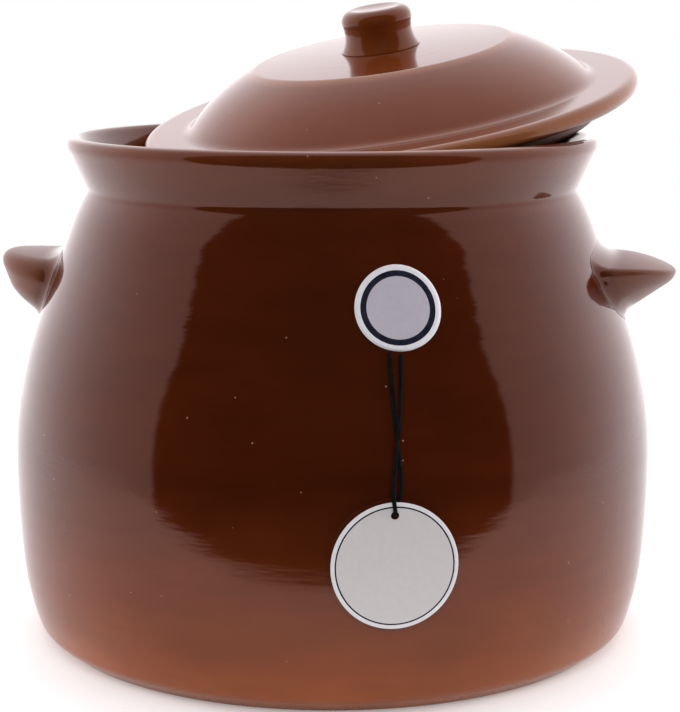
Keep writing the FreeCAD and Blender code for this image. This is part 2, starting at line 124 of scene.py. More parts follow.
# Lid, measured from the bottom of its flange.
FLANGE_DEPTH = 0.0083
FLANGE_RADIUS = 0.0855
FLANGE_INNER_RADIUS = 0.079
BRIM_RADIUS = 0.103
BRIM_THICKNESS = 0.0068
DOME_FOOT_RADIUS = 0.084
DOME_BEND = 0.077
DOME_RISE = 0.021
DOME_SHOULDER_RADIUS = 0.0532
DOME_CROWN_RISE = 0.0013
DOME_INNER_FOOT_LEVEL = 0.011
DOME_INNER_SHOULDER_RADIUS = 0.052
LID_WALL = 0.0065
LID_PLACE = Vector((0.0206, 0.0249, 0.2125))
LID_TILT = math.radians(11.88)
LID_HIGH_SIDE = math.radians(51.2)
DOME_INNER_SOFTENING = 0.003
FLANGE_INNER_SOFTENING = 0.0025
FLANGE_EDGE_SOFTENING = 0.002
FLANGE_ROOT_SOFTENING = 0.0015
DOME_FOOT_SOFTENING = 0.003
DOME_SHOULDER_SOFTENING = 0.0009

# Knob, measured from the middle of the lid's crown.
KNOB_FOOT_RADIUS = 0.0163
KNOB_FLARE_BEND = 0.014
KNOB_WAIST_RADIUS = 0.01385
KNOB_WAIST_RISE = 0.008
KNOB_BROW_RADIUS = 0.0142
KNOB_BROW_RISE = 0.0105
KNOB_HEAD_BEND = 0.0046
KNOB_HEIGHT = 0.0167
KNOB_DISH_RADIUS = 0.0092
KNOB_DISH_DEPTH = 0.0007
KNOB_WAIST_SOFTENING = 0.0008
KNOB_BROW_SOFTENING = 0.0007
KNOB_DISH_SOFTENING = 0.0008

# Fineness of the turned meshes: the step along the outline, and the number of steps around.
WALL_STEP, WALL_AROUND = 0.0018, 256
LID_STEP, LID_AROUND = 0.0012, 256
KNOB_STEP, KNOB_AROUND = 0.0005, 128
# A softened corner is a curve of so many points, and drops points nearer to its ends than this.
SOFTENED_POINTS = 9
CLOSE = 1e-5

# Finishes on the fronts of sticker and tag, and the rings there, each with the share of the radius
# that it reaches out to.
PLAIN, INKED, BORDER = 0, 1, 2
STICKER_RINGS = [
    (0.2, PLAIN), (0.4, PLAIN), (0.6, PLAIN), (0.73, PLAIN), (0.8, INKED), (0.867, INKED),
    (0.93, BORDER), (1, BORDER),
]
TAG_RINGS = [(0.895, PLAIN), (0.916, PLAIN), (0.940, INKED), (0.985, BORDER), (1, BORDER)]

# Sticker, tag and cord.
STICKER_RADIUS = 0.0158
STICKER_THICKNESS = 0.00025
STICKER_CLEARANCE = 0.00002
STICKER_LEVEL = 0.1488
STICKER_TURN = math.radians(-70.6)
STICKER_AROUND = 96
TAG_TURN = math.radians(-72.8)
TAG_RADIUS = 0.023
TAG_THICKNESS = 0.0007
TAG_BEVEL = 0.00012
TAG_LEVEL = 0.0597
TAG_STAND_OFF = 0.1323
TAG_SIDESTEP = -0.0005
TAG_AROUND = 144
TAG_HOLE_RADIUS = 0.0015
TAG_HOLE_RISE = 0.0183
TAG_HOLE_AROUND = 36
CORD_DIAMETER = 0.0015
# Route of the cord: from under the sticker down over its other half, through the tag's
# hole from front to back, and up again to the sticker.
CORD_ROUTE = [
    (0.0392, -0.1137, 0.1333), (0.0394, -0.1155, 0.1285), (0.0397, -0.1184, 0.1210),
    (0.0397, -0.1222, 0.1110), (0.0391, -0.1249, 0.1005), (0.0384, -0.1271, 0.0914),
    (0.0383, -0.1287, 0.0852), (0.0393, -0.1285, 0.0784), (0.0382, -0.1253, 0.0784),
    (0.0403, -0.1246, 0.0838), (0.0408, -0.1238, 0.0902), (0.0396, -0.1229, 0.0992),
    (0.0382, -0.1214, 0.1090), (0.0369, -0.1192, 0.1190), (0.0358, -0.1168, 0.1275),
    (0.0353, -0.1146, 0.1336),
]

# The photograph's camera.
CAMERA_PLACE = Vector((0.1049, -0.7970, 0.2525))
CAMERA_PITCH = math.radians(9.912)
CAMERA_YAW = math.radians(7.28)
CAMERA_LENS = 99.8
CAMERA_CLIP = 0.01
CAMERA_SIDE = (math.sin(CAMERA_YAW), -math.cos(CAMERA_YAW), 0)


# Outlines and meshes

def arc(start, end, bend, step):
    """Points from start to end, without the end, along an arc that bulges to the left of the way
    for a positive bend radius and to the right for a negative one, or straight for none."""
    start, end = np.array(start), np.array(end)
    way = end - start
    count = max(2, int(np.linalg.norm(way) / step))
    share = np.arange(count) / count
    if not bend:
        return start + share[:, None] * way
    half = np.linalg.norm(way) / 2
    left = np.array((-way[1], way[0])) / (2 * half)
    drop = math.sqrt(bend ** 2 - half ** 2)
    centre = (start + end) / 2 - math.copysign(drop, bend) * left
    turn = -math.copysign(2 * math.asin(half / abs(bend)), bend)
    first = math.atan2(*(start - centre)[::-1])
    angles = first + share * turn
    return centre + abs(bend) * np.stack((np.cos(angles), np.sin(angles)), axis=1)


def outline(corners, step):
    """Points of an outline given as (radius, height, softening, bend to the next corner)."""
    points = np.zeros((0, 2))
    marks = []
    for here, there in zip(corners, corners[1:]):
        marks.append((len(points), here[2]))
        points = np.vstack((points, arc(here[:2], there[:2], here[3], step)))
    points = np.vstack((points, corners[-1][:2]))
    for index, reach in reversed(marks):
        if reach:
            points = soften(points, index, reach)
    return points


def soften(points, index, reach):
    """Rounds the corner at an index with a curve that starts and ends that far along the outline."""
    lengths = np.concatenate(([0], np.cumsum(np.linalg.norm(np.diff(points, axis=0), axis=1))))
    before, after = lengths[index] - reach, lengths[index] + reach
    start = np.array([np.interp(before, lengths, points[:, axis]) for axis in (0, 1)])
    end = np.array([np.interp(after, lengths, points[:, axis]) for axis in (0, 1)])
    share = np.linspace(0, 1, SOFTENED_POINTS)[:, None]
    curve = (1 - share) ** 2 * start + 2 * share * (1 - share) * points[index] + share ** 2 * end
    return np.vstack((points[lengths < before - CLOSE], curve, points[lengths > after + CLOSE]))


def cap_bend(radius, rise):
    """Radius of the sphere that a cap is cut from, given the cap's own radius and rise."""
    return (radius ** 2 / rise + rise) / 2


def neighbours(count):
    """Each step round a ring with the step beside it."""
    return [(step, (step + 1) % count) for step in range(count)]


def circle(radius, count, rise=0.0):
    """Points round a circle whose middle lies on the second axis, raised or not."""
    angles = np.linspace(0, 2 * math.pi, count, endpoint=False)
    return np.stack((radius * np.cos(angles), rise + radius * np.sin(angles)), axis=1)


def new_object(name, data):
    """Object in the scene that shows a mesh, curve, lamp or camera."""
    made = bpy.data.objects.new(name, data)
    bpy.context.scene.collection.objects.link(made)
    return made


def new_piece(name, places, faces, materials, marks=None):
    """Smooth-shaded mesh object, with its normals pointing out."""
    mesh = bpy.data.meshes.new(name)
    mesh.from_pydata([tuple(place) for place in places], [], [tuple(face) for face in faces])
    for material in materials:
        mesh.materials.append(material)
    if marks is not None:
        mesh.polygons.foreach_set("material_index", marks)
    shell = bmesh.new()
    shell.from_mesh(mesh)
    bmesh.ops.recalc_face_normals(shell, faces=shell.faces)
    shell.to_mesh(mesh)
    shell.free()
    mesh.shade_smooth()
    return new_object(name, mesh)


def turned_piece(name, points, around, material, shape=None):
    """Closed mesh of revolution from outline points that start and end on the axis."""
    angles = np.linspace(0, 2 * math.pi, around, endpoint=False)
    rings = points[1:-1]
    turn, radius = np.meshgrid(angles, rings[:, 0])
    height = np.repeat(rings[:, 1][:, None], around, axis=1)
    if shape:
        radius, height = shape(turn, radius, height)
    grid = np.stack((radius * np.cos(turn), radius * np.sin(turn), height), axis=2).reshape(-1, 3)
    places = np.vstack((grid, (0, 0, points[0, 1]), (0, 0, points[-1, 1])))
    faces = []
    for ring in range(len(rings) - 1):
        first = ring * around
        faces += [(first + step, first + beside, first + beside + around, first + step + around)
                  for step, beside in neighbours(around)]
    pole = len(grid)
    last = pole - around
    for step, beside in neighbours(around):
        faces.append((pole, beside, step))
        faces.append((pole + 1, last + step, last + beside))
    return new_piece(name, places, faces, [material])


# The pot's wall

def leaned(radius, level, bend, lean_from, lean_to):
    """Where an arc of the wall ends when its lean changes between two values, going up or down."""
    return (radius - bend * (math.cos(lean_from) - math.cos(lean_to)),
            level + bend * (math.sin(lean_to) - math.sin(lean_from)))


def body_arcs(inset):
    """Ends of the body's arcs at heel, low, belly and shoulder, outside or inset by the wall."""
    belly = (BELLY_RADIUS - inset, BELLY_LEVEL)
    low = leaned(*belly, LOWER_BEND - inset, 0, -LOWER_LEAN)
    heel = leaned(*low, HEEL_BEND - inset, -LOWER_LEAN, -HEEL_LEAN)
    shoulder = leaned(*belly, UPPER_BEND - inset, 0, SHOULDER_LEAN)
    return heel, low, belly, shoulder


def pot_outline():
    """Outline of the pot's wall, from the middle of the base round the outside to the inner floor."""
    heel, low, belly, shoulder = body_arcs(0)
    shoulder_rise = SHOULDER_TOP_LEVEL - shoulder[1]
    shoulder_top = (shoulder[0] - shoulder_rise * math.tan(SHOULDER_LEAN), SHOULDER_TOP_LEVEL)
    neck = leaned(*shoulder_top, NECK_BEND, SHOULDER_LEAN, NECK_LEAN)
    lip_level = POT_HEIGHT - LIP_ROUNDING * (1 + math.sin(COLLAR_LEAN))
    lip_outer = (neck[0] + (lip_level - neck[1]) * math.tan(COLLAR_LEAN), lip_level)
    crest_radius = lip_outer[0] - LIP_ROUNDING * math.cos(COLLAR_LEAN)
    lip_inner = (crest_radius - LIP_ROUNDING * math.cos(INNER_COLLAR_LEAN),
                 POT_HEIGHT - LIP_ROUNDING * (1 - math.sin(INNER_COLLAR_LEAN)))
    inner_heel, inner_low, inner_belly, inner_shoulder = body_arcs(WALL)
    return outline([
        (0, 0, 0, None),
        (FOOT_RADIUS, 0, FOOT_SOFTENING, None),
        (*heel, HEEL_SOFTENING, -HEEL_BEND),
        (*low, 0, -LOWER_BEND),
        (*belly, 0, -UPPER_BEND),
        (*shoulder, 0, None),
        (*shoulder_top, 0, -NECK_BEND),
        (*neck, NECK_SOFTENING, None),
        (*lip_outer, 0, -LIP_ROUNDING),
        (crest_radius, POT_HEIGHT, 0, -LIP_ROUNDING),
        (*lip_inner, 0, None),
        (THROAT_RADIUS, THROAT_LEVEL, THROAT_SOFTENING, None),
        (*inner_shoulder, 0, UPPER_BEND - WALL),
        (*inner_belly, 0, LOWER_BEND - WALL),
        (*inner_low, 0, HEEL_BEND - WALL),
        (*inner_heel, FLOOR_SOFTENING, None),
        (0, inner_heel[1], 0, None),
    ], WALL_STEP)


WALL_POINTS = pot_outline()


def throwing(turn, radius, height):
    """Slight unevenness left by throwing: soft rings, and a wall that isn't quite round."""
    rings = sum(depth * np.sin(height * 2 * math.pi / spacing + turn * turns + start)
                for depth, spacing, turns, start in THROWING_RINGS)
    oval = OVALNESS * np.cos(2 * turn + OVAL_START + height * OVAL_TWIST)
    oval *= np.clip(height / OVAL_RISE, 0, 1)
    body = np.clip((height - PLAIN_FOOT) / PLAIN_FOOT_FADE, 0, 1)
    return radius + (rings + oval) * body, height


def make_pot_wall(material):
    piece = turned_piece("pot_wall", WALL_POINTS, WALL_AROUND, material, throwing)
    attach(piece, "pot")
    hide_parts("pot_body")


# Lug handles, luted to the wall

def wall_radius(turn, height):
    """Outside radius of the finished wall at a height and a turn round the axis."""
    outside = WALL_POINTS[1:np.argmax(WALL_POINTS[:, 1])]
    plain = np.interp(height, outside[:, 1], outside[:, 0])
    return throwing(turn, plain, height)[0]


def rounded_overlap(one, other, radius):
    """Distance to the overlap of two solids, with the edge between them rounded."""
    corner = np.hypot(np.maximum(radius + one, 0), np.maximum(radius + other, 0))
    return corner + np.minimum(np.maximum(one, other), -radius)


def rounded_join(one, other, radius):
    """Distance to two solids joined, with the corner between them filled."""
    corner = np.hypot(np.maximum(radius - one, 0), np.maximum(radius - other, 0))
    return np.maximum(np.minimum(one, other), radius) - corner


def wall_gap(places, turn):
    """Distance outside the wall of places in a lug's own frame, which points along +X."""
    around = np.arctan2(places[..., 1], places[..., 0])
    radius = np.hypot(places[..., 0], places[..., 1])
    return (radius - wall_radius(around + turn, places[..., 2])) * math.cos(SHOULDER_LEAN)


def lug_gap(places, lug):
    """Distance outside the joined wall and lug."""
    across, side, up = places[..., 0], places[..., 1], places[..., 2]
    back = lug["reach"] - across
    centre = lug["reach"] - LUG_PLAN_RADIUS
    rim = (np.hypot(across - centre, side) - LUG_PLAN_RADIUS) * math.cos(LUG_RIM_SLANT)
    rim += (lug["tip_top"] - up) * math.sin(LUG_RIM_SLANT)
    droop = lug["droop"] * np.clip(1 - back / LUG_DROOP_REACH, 0, 1) ** 2
    crown = side ** 2 / (2 * LUG_CROWN_BEND)
    keel = side ** 2 / (2 * LUG_KEEL_BEND)
    top_level = lug["tip_top"] + back * math.tan(lug["top_lean"]) - crown - droop
    bottom_level = lug["tip_bottom"] - back * math.tan(lug["underside_lean"]) + keel
    top = (up - top_level) * math.cos(lug["top_lean"])
    underside = (bottom_level - up) * math.cos(lug["underside_lean"])
    growth = np.clip(back, 0, LUG_GROWTH_REACH)
    top_edge = lug["top_edge"] + lug["top_growth"] * growth
    bottom_edge = LUG_BOTTOM_EDGE + LUG_BOTTOM_GROWTH * growth
    slab = rounded_overlap(rounded_overlap(rim, top, top_edge), underside, bottom_edge)
    share = np.clip((up - lug["tip_bottom"]) / LUG_JOINT_RISE, 0, 1)
    joint = LUG_LOWER_JOINT + (lug["upper_joint"] - LUG_LOWER_JOINT) * share
    return rounded_join(wall_gap(places, lug["turn"]), slab, joint)


def lug_surface(lug):
    """Grid of places on the joined wall and lug, found by halving along the rays of the fan."""
    sides = np.linspace(-1, 1, FAN_ACROSS_STEPS)
    crowded = FAN_SIDE * sides * (1 - FAN_CROWDING + FAN_CROWDING * sides ** 2)
    side, up = np.meshgrid(crowded, np.linspace(FAN_DOWN, FAN_UP, FAN_UP_STEPS))
    ways = np.stack((np.ones_like(side), side, up), axis=2)
    ways /= np.linalg.norm(ways, axis=2)[..., None]
    near = np.full(side.shape, FAN_NEAR)
    far = np.full(side.shape, FAN_FAR)
    for _ in range(FAN_HALVINGS):
        middle = (near + far) / 2
        inside = lug_gap(FAN_CENTRE + ways * middle[..., None], lug) < 0
        near = np.where(inside, middle, near)
        far = np.where(inside, far, middle)
    return FAN_CENTRE + ways * near[..., None]


def open_edges(faces):
    """Edges with a face on one side only, turned round for a face on the other side."""
    uses = {}
    for face in faces:
        for first, second in zip(face, face[1:] + face[:1]):
            uses.setdefault(frozenset((first, second)), []).append((second, first))
    return [edges[0] for edges in uses.values() if len(edges) == 1]


def make_lug(name, lug, material):
    """Skin of the lug and its fillet, closed behind by a fan of faces to a hub inside the wall."""
    places = lug_surface(lug)
    stands_off = wall_gap(places, lug["turn"]) > SKIN
    used = stands_off[:-1, :-1] | stands_off[1:, :-1] | stands_off[:-1, 1:] | stands_off[1:, 1:]
    index = np.arange(stands_off.size).reshape(stands_off.shape)
    faces = []
    for row, column in zip(*np.nonzero(used)):
        lower, upper = index[row], index[row + 1]
        faces.append((lower[column], lower[column + 1], upper[column + 1], upper[column]))
    kept = sorted({corner for face in faces for corner in face})
    renumbered = {corner: number for number, corner in enumerate(kept)}
    faces = [tuple(renumbered[corner] for corner in face) for face in faces]
    hub_level = FAN_CENTRE[2] + HUB_RISE
    hub = (wall_radius(lug["turn"], hub_level) - WALL / 2, 0, hub_level)
    places = np.vstack((places.reshape(-1, 3)[kept], hub))
    back = [(*edge, len(kept)) for edge in open_edges(faces)]
    turn = np.array(Matrix.Rotation(lug["turn"], 3, "Z"))
    piece = new_piece(name, places @ turn.T, faces + back, [material])
    # Flat shading of the hidden back keeps it from darkening the seam.
    piece.data.polygons.foreach_set("use_smooth", [True] * len(faces) + [False] * len(back))
    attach(piece, "pot")
    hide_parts(lug["node"])


# Lid and knob

BRIM_TOP = FLANGE_DEPTH + BRIM_THICKNESS
DOME_TOP = BRIM_TOP + DOME_RISE
DOME_CROWN = DOME_TOP + DOME_CROWN_RISE
DOME_CROWN_BEND = cap_bend(DOME_SHOULDER_RADIUS, DOME_CROWN_RISE)


def lid_place():
    """Matrix of the lid as it lies, from its own frame with Z up from the flange's lower edge."""
    tip_axis = Vector((math.sin(LID_HIGH_SIDE), -math.cos(LID_HIGH_SIDE), 0))
    brim_middle = FLANGE_DEPTH + BRIM_THICKNESS / 2
    return (Matrix.Translation(LID_PLACE) @ Matrix.Rotation(LID_TILT, 4, tip_axis)
            @ Matrix.Translation((0, 0, -brim_middle)))


def make_lid(material):
    rounding = BRIM_THICKNESS / 2
    inner_top = DOME_TOP - LID_WALL
    points = outline([
        (0, inner_top, 0, None),
        (DOME_INNER_SHOULDER_RADIUS, inner_top, DOME_INNER_SOFTENING, DOME_BEND - LID_WALL),
        (FLANGE_INNER_RADIUS, DOME_INNER_FOOT_LEVEL, FLANGE_INNER_SOFTENING, None),
        (FLANGE_INNER_RADIUS, 0, FLANGE_EDGE_SOFTENING, None),
        (FLANGE_RADIUS, 0, FLANGE_EDGE_SOFTENING, None),
        (FLANGE_RADIUS, FLANGE_DEPTH, FLANGE_ROOT_SOFTENING, None),
        (BRIM_RADIUS - rounding, FLANGE_DEPTH, 0, -rounding),
        (BRIM_RADIUS, FLANGE_DEPTH + rounding, 0, -rounding),
        (BRIM_RADIUS - rounding, BRIM_TOP, 0, None),
        (DOME_FOOT_RADIUS, BRIM_TOP, DOME_FOOT_SOFTENING, -DOME_BEND),
        (DOME_SHOULDER_RADIUS, DOME_TOP, DOME_SHOULDER_SOFTENING, -DOME_CROWN_BEND),
        (0, DOME_CROWN, 0, None),
    ], LID_STEP)
    piece = turned_piece("lid_dome", points, LID_AROUND, material)
    piece.data.transform(lid_place())
    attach(piece, "lid")
    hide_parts("lid")


def make_knob(material):
    foot_level = DOME_CROWN - KNOB_FOOT_RADIUS ** 2 / (2 * DOME_CROWN_BEND)
    dish_bend = cap_bend(KNOB_DISH_RADIUS, KNOB_DISH_DEPTH)
    top = DOME_CROWN + KNOB_HEIGHT
    points = outline([
        (0, DOME_CROWN, 0, DOME_CROWN_BEND),
        (KNOB_FOOT_RADIUS, foot_level, 0, KNOB_FLARE_BEND),
        (KNOB_WAIST_RADIUS, DOME_CROWN + KNOB_WAIST_RISE, KNOB_WAIST_SOFTENING, None),
        (KNOB_BROW_RADIUS, DOME_CROWN + KNOB_BROW_RISE, KNOB_BROW_SOFTENING, -KNOB_HEAD_BEND),
        (KNOB_DISH_RADIUS, top, KNOB_DISH_SOFTENING, dish_bend),
        (0, top - KNOB_DISH_DEPTH, 0, None),
    ], KNOB_STEP)
    piece = turned_piece("knob_button", points, KNOB_AROUND, material)
    piece.data.transform(lid_place())
    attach(piece, "lid")
    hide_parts("lid_knob")


# Sticker, tag and cord

def disc_faces(rings, around):
    """Faces of a disc of rings round a middle point, with the number of the ring that each lies in."""
    faces = [(0, 1 + step, 1 + beside) for step, beside in neighbours(around)]
    ring_of = [0] * around
    for ring in range(1, rings):
        inner, outer = 1 + (ring - 1) * around, 1 + ring * around
        faces += [(inner + step, outer + step, outer + beside, inner + beside)
                  for step, beside in neighbours(around)]
        ring_of += [ring] * around
    return faces, ring_of


def make_sticker(paper, ink, edge):
    """Thin disc bent round the shoulder, its front printed with a ring inside the border."""
    rings = [circle(STICKER_RADIUS * share, STICKER_AROUND) for share, _ in STICKER_RINGS]
    flat = np.vstack([(0, 0)] + rings)
    height = STICKER_LEVEL + flat[:, 1] * math.cos(SHOULDER_LEAN)
    turn = STICKER_TURN + flat[:, 0] / wall_radius(STICKER_TURN, STICKER_LEVEL)
    places = []
    for lift in (STICKER_THICKNESS, STICKER_CLEARANCE):
        radius = wall_radius(turn, height) + lift / math.cos(SHOULDER_LEAN)
        places.append(np.stack((radius * np.cos(turn), radius * np.sin(turn), height), axis=1))
    count = len(flat)
    rim = count - STICKER_AROUND
    front, ring_of = disc_faces(len(rings), STICKER_AROUND)
    back = [tuple(corner + count for corner in reversed(face)) for face in front]
    side = [(rim + step, rim + count + step, rim + count + beside, rim + beside)
            for step, beside in neighbours(STICKER_AROUND)]
    marks = [STICKER_RINGS[ring][1] for ring in ring_of] + [BORDER] * (len(back) + len(side))
    piece = new_piece("sticker_face", np.vstack(places), front + back + side, [paper, ink, edge], marks)
    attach(piece, "pot")
    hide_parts("round_sticker")


def tag_place():
    """Matrix of the tag as it hangs, from its own frame with Z out of the card's face."""
    return (Matrix.Rotation(TAG_TURN + math.pi / 2, 4, "Z")
            @ Matrix.Translation((TAG_SIDESTEP, -TAG_STAND_OFF, TAG_LEVEL))
            @ Matrix.Rotation(math.pi / 2, 4, "X"))


def tag_side(sheet, level, rim_level, printed):
    """One side of the tag with its bevelled rim, and the corners round its rim and its hole."""
    levels = [level] * (len(TAG_RINGS) - 1) + [rim_level]
    rings = [[sheet.verts.new((*place, height)) for place in circle(TAG_RADIUS * share, TAG_AROUND)]
             for (share, _), height in zip(TAG_RINGS, levels)]
    hole = [sheet.verts.new((*place, level))
            for place in circle(TAG_HOLE_RADIUS, TAG_HOLE_AROUND, TAG_HOLE_RISE)]
    for inner, outer, (_, finish) in zip(rings, rings[1:], TAG_RINGS[1:]):
        for step, beside in neighbours(TAG_AROUND):
            face = sheet.faces.new((inner[step], outer[step], outer[beside], inner[beside]))
            if printed:
                face.material_index = finish
    ends = [(ring[step], ring[beside]) for ring in (rings[0], hole)
            for step, beside in neighbours(len(ring))]
    bounds = [sheet.edges.get(pair) or sheet.edges.new(pair) for pair in ends]
    bmesh.ops.triangle_fill(sheet, use_beauty=True, use_dissolve=False, edges=bounds)
    return rings[-1], hole


def make_tag(card, ink, edge):
    """Card disc with a punched hole, its front printed with a ring inside the border."""
    sheet = bmesh.new()
    upper = tag_side(sheet, TAG_THICKNESS, TAG_THICKNESS - TAG_BEVEL, printed=True)
    lower = tag_side(sheet, 0, TAG_BEVEL, printed=False)
    for above, below in zip(upper, lower):
        for step, beside in neighbours(len(above)):
            sheet.faces.new((above[step], below[step], below[beside], above[beside]))
    bmesh.ops.recalc_face_normals(sheet, faces=sheet.faces)
    mesh = bpy.data.meshes.new("tag_face")
    sheet.to_mesh(mesh)
    sheet.free()
    for material in (card, ink, edge):
        mesh.materials.append(material)
    mesh.transform(tag_place())
    piece = new_object("tag_face", mesh)
    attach(piece, "tag")
    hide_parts("swing_tag")
    return piece


def make_cord(material):
    curve = bpy.data.curves.new("hanging_cord", "CURVE")
    curve.dimensions = "3D"
    curve.bevel_depth = CORD_DIAMETER / 2
    curve.bevel_resolution = 4
    curve.resolution_u = 10
    curve.use_fill_caps = True
    spline = curve.splines.new("NURBS")
    spline.points.add(len(CORD_ROUTE) - 1)
    for point, place in zip(spline.points, CORD_ROUTE):
        point.co = (*place, 1)
    spline.order_u = 3
    spline.use_endpoint_u = True
    curve.materials.append(material)
    cord = new_object("hanging_cord", curve)
    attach(cord, "cord")
    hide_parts("tag_cord")


# Shader nodes

def node(tree, kind, inputs=None, **settings):
    """New shader node with its settings and inputs, each a value or another node's output."""
    made = tree.nodes.new("ShaderNode" + kind)
    for key, value in settings.items():
        setattr(made, key, value)
    for key, value in (inputs or {}).items():
        if isinstance(value, bpy.types.NodeSocket):
            tree.links.new(value, made.inputs[key])
        else:
            made.inputs[key].default_value = value
    return made


def new_material(name, **constants):
    """Material with a Principled shader whose named sockets are set."""
    material = bpy.data.materials.new(name)
    material.use_nodes = True
    shader = material.node_tree.nodes["Principled BSDF"]
    for key, value in constants.items():
        shader.inputs[key.replace("_", " ")].default_value = value
    return material, material.node_tree, shader


def object_place(tree):
    """Coordinates of a point of the surface in its object's frame, which is the whole pot's."""
    return node(tree, "TexCoord").outputs["Object"]


def height_of(tree, place):
    return node(tree, "SeparateXYZ", {"Vector": place}).outputs["Z"]


def math_node(tree, operation, *values):
    return node(tree, "Math", dict(enumerate(values)), operation=operation).outputs["Value"]


def measured(tree, operation, *vectors):
    """Number that a vector operation gives, such as a length."""
    return node(tree, "VectorMath", dict(enumerate(vectors)), operation=operation).outputs["Value"]


def scaled(tree, vector, scale):
    """Coordinates stretched by a factor along each axis."""
    return node(tree, "VectorMath", {0: vector, 1: scale}, operation="MULTIPLY").outputs["Vector"]


def mapped(tree, value, start, end, low=0.0, high=1.0, **settings):
    """Value held between start and end, where it gives low and high."""
    return node(tree, "MapRange", {"Value": value, "From Min": start, "From Max": end,
                                   "To Min": low, "To Max": high}, **settings).outputs["Result"]


def mixed(tree, share, first, second):
    """The first colour, or the second where the share is one."""
    return node(tree, "Mix", {"Factor": share, "A": first, "B": second},
                data_type="RGBA").outputs["Result"]


def ramp_of(tree, factor, stops):
    """Colour ramp through (position, colour) stops."""
    made = node(tree, "ValToRGB", {"Fac": factor})
    elements = made.color_ramp.elements
    while len(elements) < len(stops):
        elements.new(1.0)
    for element, (position, colour) in zip(elements, stops):
        element.position = position
        element.color = (*colour, 1)
    return made.outputs["Color"]


def noise(tree, vector, scale, detail=3.0):
    return node(tree, "TexNoise", {"Vector": vector, "Scale": scale, "Detail": detail}).outputs["Fac"]


# Glazes

# What both have: streaks and clouds of shade, ripples, and sparse specks of grit.
STREAK_SCALE = 24.0
CLOUD_SCALE = 30.0
SHADE_RANGE = (0.7, 1.3)
RIPPLE_SCALE = 120.0
RIPPLE_DETAIL = 2.0
RIPPLE_HEIGHT = 0.00003
SPECK_SCALE = 170.0
SPECK_REACH = 0.055
SPECK_RARITY = 0.80
SPECK_COLOUR = (0.32, 0.18, 0.11, 1)
SPECK_HEIGHT = 0.0001

# Colour of the pot's glaze by height: darkest round the upper belly, a little lighter at the lip, and
# lighter and more orange towards the foot.
GLAZE_STOPS = [
    (0.000, (0.34, 0.095, 0.028)), (0.005, (0.26, 0.068, 0.018)), (0.022, (0.165, 0.037, 0.008)),
    (0.0456, (0.112, 0.023, 0.005)), (0.0645, (0.076, 0.014, 0.003)), (0.085, (0.050, 0.008, 0.0015)),
    (0.150, (0.048, 0.008, 0.0015)), (0.175, (0.055, 0.009, 0.002)), (0.2036, (0.09, 0.020, 0.005)),
]
POT_IOR = 1.58
POT_TINT = (1, 0.60, 0.52, 1)
POT_MOTTLING = 0.14
# Stretched like this, the noise lies in level rings round the pot.
POT_RINGS = (1, 1, 5)
# Over the lugs, where they stand out, the glaze is lighter, more orange and duller.
LUG_COLOUR = (0.105, 0.033, 0.016, 1)
LUG_FADE = 0.009
WALL_ROUGHNESS, LUG_ROUGHNESS = 0.06, 0.38

# Colour of the lid's glaze by distance from its middle, as a share of the brim's radius. The lighter
# rings at the edge of the crown and round the brim's edge are painted highlights.
LID_STOPS_WITH_HIGHLIGHTS = [
    (0.0, (0.12, 0.026, 0.005)), (0.50, (0.12, 0.026, 0.005)), (0.525, (0.21, 0.065, 0.022)),
    (0.56, (0.12, 0.024, 0.005)), (0.95, (0.13, 0.031, 0.007)), (1.0, (0.20, 0.070, 0.025)),
]
LID_IOR = 1.55
LID_TINT = (1, 0.74, 0.69, 1)
LID_MOTTLING = 0.10
LID_RINGS = 3.0
# The underside is darker with painted shade, and duller, up to a little above the brim's lower face.
UNDERSIDE_SHADE_COLOUR = (0.035, 0.008, 0.003, 1)
UNDERSIDE_FADE = 0.0028
LID_ROUGHNESS, UNDERSIDE_ROUGHNESS = 0.14, 0.45


def specks(tree, place):
    """One where a sparse speck of grit breaks the glaze, else zero."""
    cells = node(tree, "TexVoronoi", {"Vector": place, "Scale": SPECK_SCALE}).outputs
    near = math_node(tree, "LESS_THAN", cells["Distance"], SPECK_REACH)
    chance = node(tree, "SeparateColor", {"Color": cells["Color"]}).outputs["Red"]
    return math_node(tree, "MULTIPLY", near, math_node(tree, "GREATER_THAN", chance, SPECK_RARITY))


def glaze_finish(tree, shader, colour, rings, place, mottling):
    """Streaks, mottling and specks on a glaze's colour, and the glaze's slight unevenness."""
    streaks = noise(tree, rings, STREAK_SCALE)
    clouds = noise(tree, place, CLOUD_SCALE)
    shade = math_node(tree, "ADD", streaks, clouds)
    level = mapped(tree, shade, *SHADE_RANGE, 1 - mottling, 1 + mottling)
    mottled = node(tree, "VectorMath", {0: colour, "Scale": level}, operation="SCALE").outputs["Vector"]
    speck = specks(tree, place)
    tree.links.new(mixed(tree, speck, mottled, SPECK_COLOUR), shader.inputs["Base Color"])
    ripple = noise(tree, rings, RIPPLE_SCALE, RIPPLE_DETAIL)
    uneven = node(tree, "Bump", {"Height": ripple, "Strength": 1.0, "Distance": RIPPLE_HEIGHT})
    grit = node(tree, "Bump", {"Height": speck, "Strength": 1.0, "Distance": SPECK_HEIGHT,
                               "Normal": uneven.outputs["Normal"]})
    tree.links.new(grit.outputs["Normal"], shader.inputs["Normal"])


def colour_by_height(tree, level):
    height = mapped(tree, level, 0, POT_HEIGHT)
    return ramp_of(tree, height, [(stop / POT_HEIGHT, colour) for stop, colour in GLAZE_STOPS])


def pot_glaze():
    material, tree, shader = new_material("honey_glaze", IOR=POT_IOR, Roughness=WALL_ROUGHNESS,
                                          Specular_Tint=POT_TINT)
    place = object_place(tree)
    colour = colour_by_height(tree, height_of(tree, place))
    glaze_finish(tree, shader, colour, scaled(tree, place, POT_RINGS), place, POT_MOTTLING)
    return material


